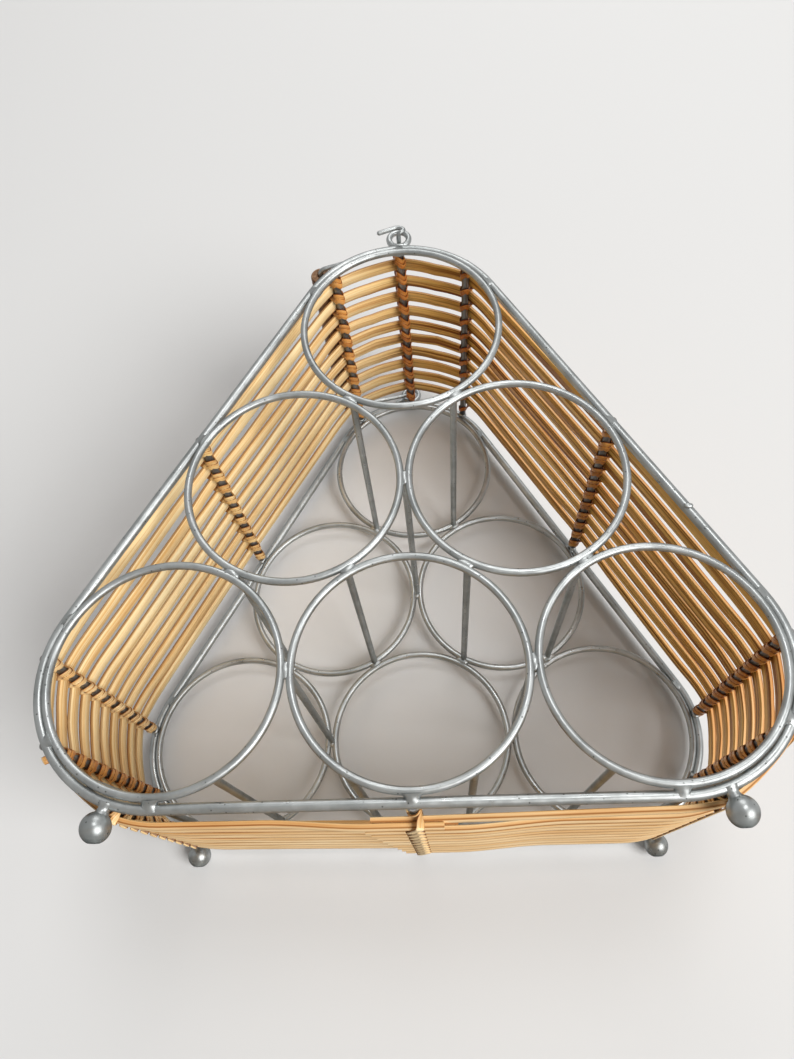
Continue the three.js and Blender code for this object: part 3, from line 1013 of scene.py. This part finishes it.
def hoop_welds(end):
    """A bead where each two neighbouring hoops touch."""
    skins = []
    for first, second in JOINED:
        a, b = (CENTRE[cell].copy() for cell in (first, second))
        a.y = b.y = HOOP_Y[end]
        across = (b - a).normalized()
        skins.append(bead(a.lerp(b, 0.5), across.cross(Y_AXIS), across, HOOP_BEAD, len(skins) * SEED_STEP))
    return skins


def frame_welds(end):
    """A web from each outer hoop to the frame rod round it."""
    skins = []
    for cell, degrees in FRAME_CONTACTS:
        a = around(cell, HOOP_RADIUS, degrees, HOOP_Y[end])
        b = around(cell, FRAME_REACH, degrees, FRAME_Y[end])
        seed = (len(JOINED) + len(skins)) * SEED_STEP
        skins.append(weld_web(a, b, facing(degrees).cross(Y_AXIS), WEB_WIDTH, WEB_DEPTH, seed))
    return skins


def eye_weld(end):
    top = Vector((0, FRAME_Y[end], CENTRE["top"].z + FRAME_REACH + FRAME_ROD / 2))
    return bead(top, X_AXIS, Y_AXIS, EYE_BEAD, 5.0)


def spatter():
    """A lump of weld thrown on the front frame rod, part of the way down the right slope."""
    y = FRAME_Y["front"] - FRAME_ROD / 2
    at = around("top", FRAME_REACH, 30, y).lerp(around("low_right", FRAME_REACH, 30, y), SPATTER_SHARE)
    return bead(at, X_AXIS, Z_AXIS, SPATTER, 3.0)


def rib_welds(end):
    """A bead where each rib ends on the frame rod."""
    inward = 1 if end == "front" else -1
    skins = []
    for cell, degrees in RIBS.values():
        at = around(cell, RIB_REACH - RIB_BEAD_INSET, degrees, FRAME_Y[end])
        at.y += inward * (FRAME_ROD / 2 + RIB_BEAD_LIFT)
        out = facing(degrees)
        skins.append(bead(at, out.cross(Y_AXIS), out, RIB_BEAD, degrees))
    return skins


def weld_beads(end):
    skins = hoop_welds(end) + frame_welds(end) + [eye_weld(end)]
    if end == "front":
        skins.append(spatter())
    return skins + rib_welds(end)


for end in FRAME_Y:
    piece(f"weld_beads_{end}", weld_beads(end), "steel", sharp=80)


# The bail, hooked through both eyes, and the grip that it carries
def rounded_path(corners, radius, steps=7):
    points = [corners[0]]
    for start, at, end in zip(corners, corners[1:], corners[2:]):
        cut = min(radius, (at - start).length / 2, (end - at).length / 2)
        first = at + (start - at).normalized() * cut
        last = at + (end - at).normalized() * cut
        points += bend_points(first, at, last, steps)
    return points + [corners[-1]]


def bail_skin():
    hook_y = FRAME_Y["front"] - HOOK_REACH
    arm_y = FRAME_Y["front"] + ARM_SETBACK
    half = [
        Vector((-HOOK_TAIL, hook_y, PIVOT.z + HOOK_RISE / 4)),
        Vector((0, hook_y, PIVOT.z + HOOK_RISE)),
        Vector((HOOK_SIDE, hook_y, PIVOT.z + HOOK_RISE / 2)),
        Vector((0, hook_y, PIVOT.z)),
        Vector((0, arm_y, PIVOT.z)),
        Vector((GRIP_MIDDLE.x, arm_y + BAIL_LEAN, GRIP_MIDDLE.z)),
    ]
    other = [p * Vector((1, -1, 1)) for p in reversed(half)]
    return tube(rounded_path(half + other, BAIL_BEND), BAIL_WIRE / 2, 12, rounded_ends=True)


def grip_skin():
    low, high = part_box("handle_grip")
    radius = (high.z - low.z) / 2
    half = (high.y - low.y) / 2
    bore = BAIL_WIRE / 2 + GAP
    outer = []
    for i in range(5):
        a = math.pi / 2 * i / 4
        outer.append((half - GRIP_BEVEL * (1 - math.sin(a)), radius - GRIP_BEVEL * (1 - math.cos(a))))
    belly = [(half * s, radius) for s in (0.6, 0.2)]
    right_end = [(half - BORE_BEVEL, bore), (half, bore + BORE_FLARE)] + outer[::-1] + belly
    profile = right_end + [(-run, r) for run, r in reversed(right_end)]
    made = lathe(profile, GRIP_MIDDLE, Y_AXIS, 40, closed=True)
    made["grain"] = [((p - GRIP_MIDDLE).y, (p - GRIP_MIDDLE).x, (p - GRIP_MIDDLE).z)
                     for row in made["rings"] for p in row]
    return made


piece("handle_wire", [bail_skin()], "steel", ["handle_bail"], body="handle")
piece("handle_wood", [grip_skin()], "turned_wood", ["handle_grip"], body="handle", sharp=50)


# The stage: a floor under the rack and a pale wall behind it, each seen only from its face
def stage_material(name, colour):
    material, tree, surface = shader(name)
    surface.inputs["Base Color"].default_value = (*colour, 1)
    surface.inputs["Roughness"].default_value = 0.9
    behind = tree.nodes.new("ShaderNodeNewGeometry").outputs["Backfacing"]
    clear = tree.nodes.new("ShaderNodeBsdfTransparent")
    choice = tree.nodes.new("ShaderNodeMixShader")
    tree.links.new(behind, choice.inputs[0])
    tree.links.new(surface.outputs[0], choice.inputs[1])
    tree.links.new(clear.outputs[0], choice.inputs[2])
    tree.links.new(choice.outputs[0], tree.nodes["Material Output"].inputs["Surface"])
    return material


def stage_plane(name, at, normal, size, colour):
    mesh = bpy.data.meshes.new(name)
    right = normal.orthogonal().normalized() * size
    up = normal.cross(right)
    corners = [at - right - up, at + right - up, at + right + up, at - right + up]
    mesh.from_pydata(corners, [], [(0, 1, 2, 3)])
    mesh.materials.append(stage_material(name, colour))
    made = bpy.data.objects.new(name, mesh)
    made.visible_shadow = False
    made.visible_diffuse = False
    bpy.context.scene.collection.objects.link(made)


STAGE_REACH = 4
WALL_GAP = 0.0004
stage_plane("floor", Vector((0, 0, 0)), Z_AXIS, STAGE_REACH, (0.93, 0.92, 0.905))
wall_at = Vector((0, cad_box[1][1] + WALL_GAP, 0))
stage_plane("wall", wall_at, -Y_AXIS, STAGE_REACH, (0.66, 0.655, 0.645))


# Light
def lamp(name, at, target, size, power):
    data = bpy.data.lights.new(name, "AREA")
    data.shape = "DISK"
    data.size = size
    data.energy = power
    made = bpy.data.objects.new(name, data)
    made.location = at
    made.rotation_euler = (target - Vector(at)).to_track_quat("-Z", "Y").to_euler()
    bpy.context.scene.collection.objects.link(made)


AIM = Vector((0, 0, 0.14))
lamp("key", (2.9, -3.5, -1.9), AIM, 3.2, 300)
lamp("front", (0.5, -3.3, 1.3), AIM, 1.2, 21)
lamp("top", (0.1, -0.9, 1.5), AIM, 1.0, 5)
lamp("back", (-0.7, 1.3, 1.0), AIM, 1.2, 7)
ROOM_LIGHT = 0.18
ROOM_SEEN = 0.52


def room():
    """Soft light from all sides. Seen directly, in gloss or through glass, the room is paler than that."""
    world = bpy.data.worlds.new("room")
    world.use_nodes = True
    tree = world.node_tree
    ray = tree.nodes.new("ShaderNodeLightPath").outputs
    seen = maths(tree, "MAXIMUM", ray["Is Camera Ray"], ray["Is Glossy Ray"])
    seen = maths(tree, "MAXIMUM", seen, ray["Is Transmission Ray"])
    strength = add(tree, "ShaderNodeMapRange", Value=seen, To_Min=ROOM_LIGHT, To_Max=ROOM_SEEN)
    fill(tree, tree.nodes["Background"].inputs["Strength"], strength.outputs[0])
    fill(tree, tree.nodes["Background"].inputs["Color"], WHITE)
    return world


bpy.context.scene.world = room()


# Camera at the photograph's viewing angle: from the front, low, looking up along the rack
CAMERA_AT = Vector((0.0132, -0.3886, -0.0291))
CAMERA_LOOK = Vector((-0.0483, 0.8979, 0.4375)).normalized()
CAMERA_UP = Vector((0.0425, -0.4358, 0.899))
CAMERA_LENS = 27.55
camera_data = bpy.data.cameras.new("camera")
camera_data.lens = CAMERA_LENS
camera_data.sensor_width = 36
camera_data.clip_start = 0.01
camera = bpy.data.objects.new("camera", camera_data)
right = CAMERA_LOOK.cross(CAMERA_UP).normalized()
turn = Matrix((right, right.cross(CAMERA_LOOK), -CAMERA_LOOK)).transposed()
camera.matrix_world = Matrix.Translation(CAMERA_AT) @ turn.to_4x4()
bpy.context.scene.collection.objects.link(camera)
bpy.context.scene.camera = camera
bpy.context.scene.view_settings.view_transform = "Standard"
